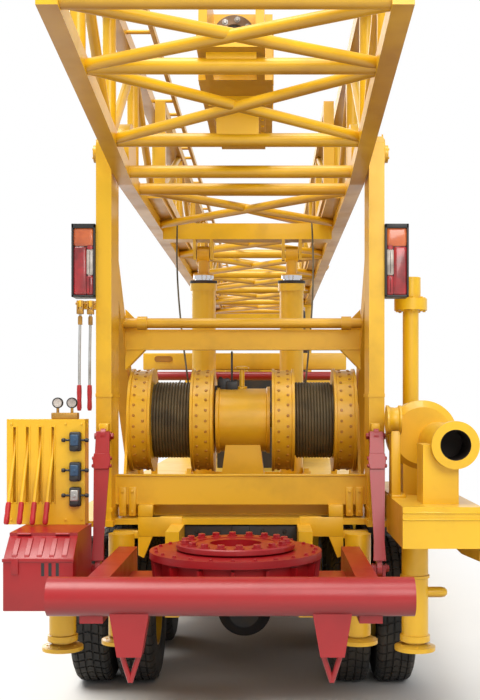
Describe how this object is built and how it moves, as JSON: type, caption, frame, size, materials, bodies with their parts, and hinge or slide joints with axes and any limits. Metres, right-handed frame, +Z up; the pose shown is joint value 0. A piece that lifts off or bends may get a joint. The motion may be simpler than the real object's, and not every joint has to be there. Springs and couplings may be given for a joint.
{
  "type": "truck-mounted rotary drilling rig",
  "caption": "Rotary drilling rig on a truck carrier: lattice mast lowered over a double-drum drawworks, rotary table and pump at the rear.",
  "frame": {"origin": "on the floor, below the middle of the rig's length and width", "axes": "+X right seen from behind, +Y towards the cab, +Z up"},
  "size_m": [2.9038, 15.65, 4.68],
  "materials": {
    "yellow_paint": "gloss enamel with worn edges",
    "red_paint": "gloss enamel with worn edges",
    "dark_steel": "dark, oily",
    "wire_rope": "greased wire rope",
    "steel": "bare machined",
    "black_plastic": "matt",
    "lens_red": "ribbed lamp lens",
    "tyre": "dusty rubber",
    "glass": "clear",
    "seat": "woven"
  },
  "bodies": {
    "root": {"chassis": "yellow_paint", "deck": "yellow_paint", "side_box": "yellow_paint", "mast_stand": "yellow_paint", "mast_rest": "yellow_paint", "drawworks_frame": "yellow_paint", "rotary_frame": "red_paint", "side_links": "red_paint", "rotary_table": "red_paint", "control_panel": "yellow_paint", "tail_lamps": "lens_red", "mud_pump": "yellow_paint", "engine": "dark_steel", "radiator": "black_plastic", "side_tanks": "yellow_paint", "axles": "dark_steel", "front_bumper": "yellow_paint", "cab_shell": "yellow_paint", "cab_glass": "glass", "cab_interior": "seat"},
    "mast": {"mast_sides": "yellow_paint", "mast_bracing": "yellow_paint", "foot_bracing": "yellow_paint", "lift_beam": "yellow_paint"},
    "mast_upper": {"upper_sides": "yellow_paint", "upper_bracing": "yellow_paint", "crown_block": "yellow_paint"},
    "head": {"rotary_head": "yellow_paint"},
    "lift_barrel": {"lift_barrels": "yellow_paint"},
    "lift_stage": {"lift_stages": "yellow_paint"},
    "lift_rod": {"lift_rods": "steel"},
    "drum_l": {"drum_left": "yellow_paint", "rope_left": "wire_rope"},
    "drum_r": {"drum_right": "yellow_paint", "rope_right": "wire_rope"},
    "table": {"table_rotor": "red_paint"},
    "steer_l": {"knuckle_left": "dark_steel"},
    "steer_r": {"knuckle_right": "dark_steel"},
    "cab_door_l": {"door_left": "yellow_paint"},
    "cab_door_r": {"door_right": "yellow_paint"},
    "leg_rear_outer_left": {"jack_rear_outer_left": "yellow_paint"},
    "leg_rear_outer_right": {"jack_rear_outer_right": "yellow_paint"},
    "leg_rear_inner_left": {"jack_rear_inner_left": "yellow_paint"},
    "leg_rear_inner_right": {"jack_rear_inner_right": "yellow_paint"},
    "leg_front_left": {"jack_front_left": "yellow_paint"},
    "leg_front_right": {"jack_front_right": "yellow_paint"},
    "wheels_rear_1_left": {"tyres_rear_1_left": "tyre", "rims_rear_1_left": "yellow_paint"},
    "wheels_rear_2_left": {"tyres_rear_2_left": "tyre", "rims_rear_2_left": "yellow_paint"},
    "wheel_front_left": {"tyre_front_left": "tyre", "rim_front_left": "yellow_paint"},
    "wheels_rear_1_right": {"tyres_rear_1_right": "tyre", "rims_rear_1_right": "yellow_paint"},
    "wheels_rear_2_right": {"tyres_rear_2_right": "tyre", "rims_rear_2_right": "yellow_paint"},
    "wheel_front_right": {"tyre_front_right": "tyre", "rim_front_right": "yellow_paint"}
  },
  "joints": [
    {"name": "mast_tilt", "type": "hinge", "parent": "root", "child": "mast", "pos_m": [0, -5.275, 3.89], "axis": [1, 0, 0], "range_deg": [0, 90]},
    {"name": "mast_extend", "type": "slide", "parent": "mast", "child": "mast_upper", "axis": [0, 1, 0], "range_m": [0, 10]},
    {"name": "head_travel", "type": "slide", "parent": "mast", "child": "head", "axis": [0, 1, 0], "range_m": [0, 9.4]},
    {"name": "lift_tilt", "type": "hinge", "parent": "root", "child": "lift_barrel", "pos_m": [0, -2.975, 1.51], "axis": [1, 0, 0], "range_deg": [0, 18.56]},
    {"name": "lift_stage_slide", "type": "slide", "parent": "lift_barrel", "child": "lift_stage", "axis": [0, -0.0752, 0.9972], "range_m": [0, 1.4612]},
    {"name": "lift_rod_slide", "type": "slide", "parent": "lift_stage", "child": "lift_rod", "axis": [0, -0.0752, 0.9972], "range_m": [0, 1.4612]},
    {"name": "drum_left_spin", "type": "hinge", "parent": "root", "child": "drum_l", "pos_m": [0, -4.595, 2.05], "axis": [1, 0, 0], "continuous": true},
    {"name": "drum_right_spin", "type": "hinge", "parent": "root", "child": "drum_r", "pos_m": [0, -4.595, 2.05], "axis": [1, 0, 0], "continuous": true},
    {"name": "table_spin", "type": "hinge", "parent": "root", "child": "table", "pos_m": [0, -6.375, 1.33], "axis": [0, 0, 1], "continuous": true},
    {"name": "jack_rear_outer_left_down", "type": "slide", "parent": "root", "child": "leg_rear_outer_left", "axis": [0, 0, -1], "range_m": [0, 0.6]},
    {"name": "jack_rear_outer_right_down", "type": "slide", "parent": "root", "child": "leg_rear_outer_right", "axis": [0, 0, -1], "range_m": [0, 0.6]},
    {"name": "jack_rear_inner_left_down", "type": "slide", "parent": "root", "child": "leg_rear_inner_left", "axis": [0, 0, -1], "range_m": [0, 0.6]},
    {"name": "jack_rear_inner_right_down", "type": "slide", "parent": "root", "child": "leg_rear_inner_right", "axis": [0, 0, -1], "range_m": [0, 0.6]},
    {"name": "jack_front_left_down", "type": "slide", "parent": "root", "child": "leg_front_left", "axis": [0, 0, -1], "range_m": [0, 0.6]},
    {"name": "jack_front_right_down", "type": "slide", "parent": "root", "child": "leg_front_right", "axis": [0, 0, -1], "range_m": [0, 0.6]},
    {"name": "steer_left", "type": "hinge", "parent": "root", "child": "steer_l", "pos_m": [-0.89, 3.025, 0.56], "axis": [0, 0, 1], "range_deg": [-30, 30]},
    {"name": "wheels_rear_1_left_spin", "type": "hinge", "parent": "root", "child": "wheels_rear_1_left", "pos_m": [-0.98, -4.175, 0.56], "axis": [1, 0, 0], "continuous": true},
    {"name": "wheels_rear_2_left_spin", "type": "hinge", "parent": "root", "child": "wheels_rear_2_left", "pos_m": [-0.98, -2.825, 0.56], "axis": [1, 0, 0], "continuous": true},
    {"name": "wheel_front_left_spin", "type": "hinge", "parent": "steer_l", "child": "wheel_front_left", "pos_m": [-1.13, 3.025, 0.56], "axis": [1, 0, 0], "continuous": true},
    {"name": "door_left_swing", "type": "hinge", "parent": "root", "child": "cab_door_l", "pos_m": [-1.166, 5.319, 1.8], "axis": [0, 0, 1], "range_deg": [-70, 0]},
    {"name": "steer_right", "type": "hinge", "parent": "root", "child": "steer_r", "pos_m": [0.89, 3.025, 0.56], "axis": [0, 0, 1], "range_deg": [-30, 30]},
    {"name": "wheels_rear_1_right_spin", "type": "hinge", "parent": "root", "child": "wheels_rear_1_right", "pos_m": [0.98, -4.175, 0.56], "axis": [1, 0, 0], "continuous": true},
    {"name": "wheels_rear_2_right_spin", "type": "hinge", "parent": "root", "child": "wheels_rear_2_right", "pos_m": [0.98, -2.825, 0.56], "axis": [1, 0, 0], "continuous": true},
    {"name": "wheel_front_right_spin", "type": "hinge", "parent": "steer_r", "child": "wheel_front_right", "pos_m": [1.13, 3.025, 0.56], "axis": [1, 0, 0], "continuous": true},
    {"name": "door_right_swing", "type": "hinge", "parent": "root", "child": "cab_door_r", "pos_m": [1.166, 5.319, 1.8], "axis": [0, 0, 1], "range_deg": [0, 70]}
  ],
  "couplings": [
    {"joint": "lift_tilt", "follows": "mast_tilt", "ratio": 0.2061},
    {"joint": "lift_stage_slide", "follows": "mast_tilt", "m_per_rad": 0.9296},
    {"joint": "lift_rod_slide", "follows": "mast_tilt", "m_per_rad": 0.9296},
    {"joint": "steer_left", "follows": "steer_right", "ratio": 1}
  ]
}
